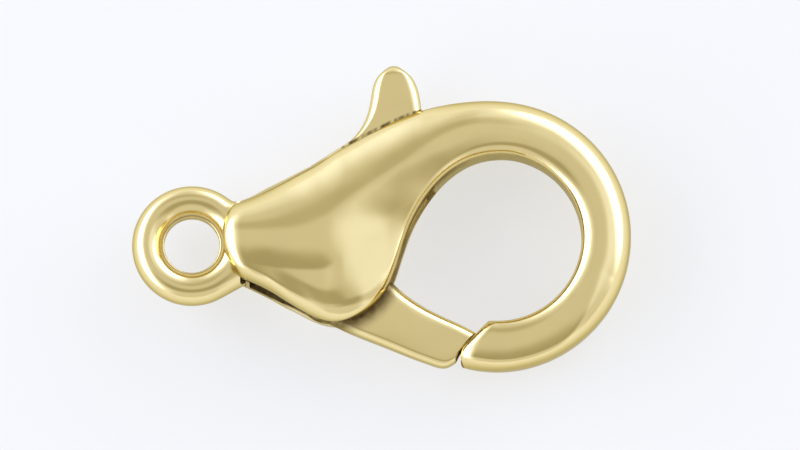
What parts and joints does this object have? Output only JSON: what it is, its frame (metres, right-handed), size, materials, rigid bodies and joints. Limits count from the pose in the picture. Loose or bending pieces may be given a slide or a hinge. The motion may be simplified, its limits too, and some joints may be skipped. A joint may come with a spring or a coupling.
{
  "type": "lobster clasp",
  "caption": "Cast lobster clasp with a round eye ring, hollow housing, curved hook with a bevelled tip, and a sprung gate lever with a thumb tab.",
  "frame": {"origin": "centre of the clasp's footprint, at the level it lies on", "axes": "+X from the eye ring to the hook, +Y from the gate's side to the thumb tab, +Z out of the front face"},
  "size_m": [0.018, 0.0111, 0.004],
  "materials": {
    "cast_gold": "polished pale gold plating",
    "lever_gold": "polished pale gold plating",
    "pin_gold": "polished pale gold plating",
    "spring_strip": "bright spring strip"
  },
  "bodies": {
    "casting": {"clasp_body": "cast_gold", "pivot_pin": "pin_gold", "return_spring": "spring_strip"},
    "lever": {"lever": "lever_gold"}
  },
  "joints": [
    {"name": "gate_hinge", "type": "hinge", "parent": "casting", "child": "lever", "pos_m": [-0.00196, -0.00276, 0.00185], "axis": [0, 0, 1], "range_deg": [0, 28], "stiffness_Nm_per_rad": 0.0245, "springref_deg": -18.91, "deforming": ["return_spring"]}
  ]
}
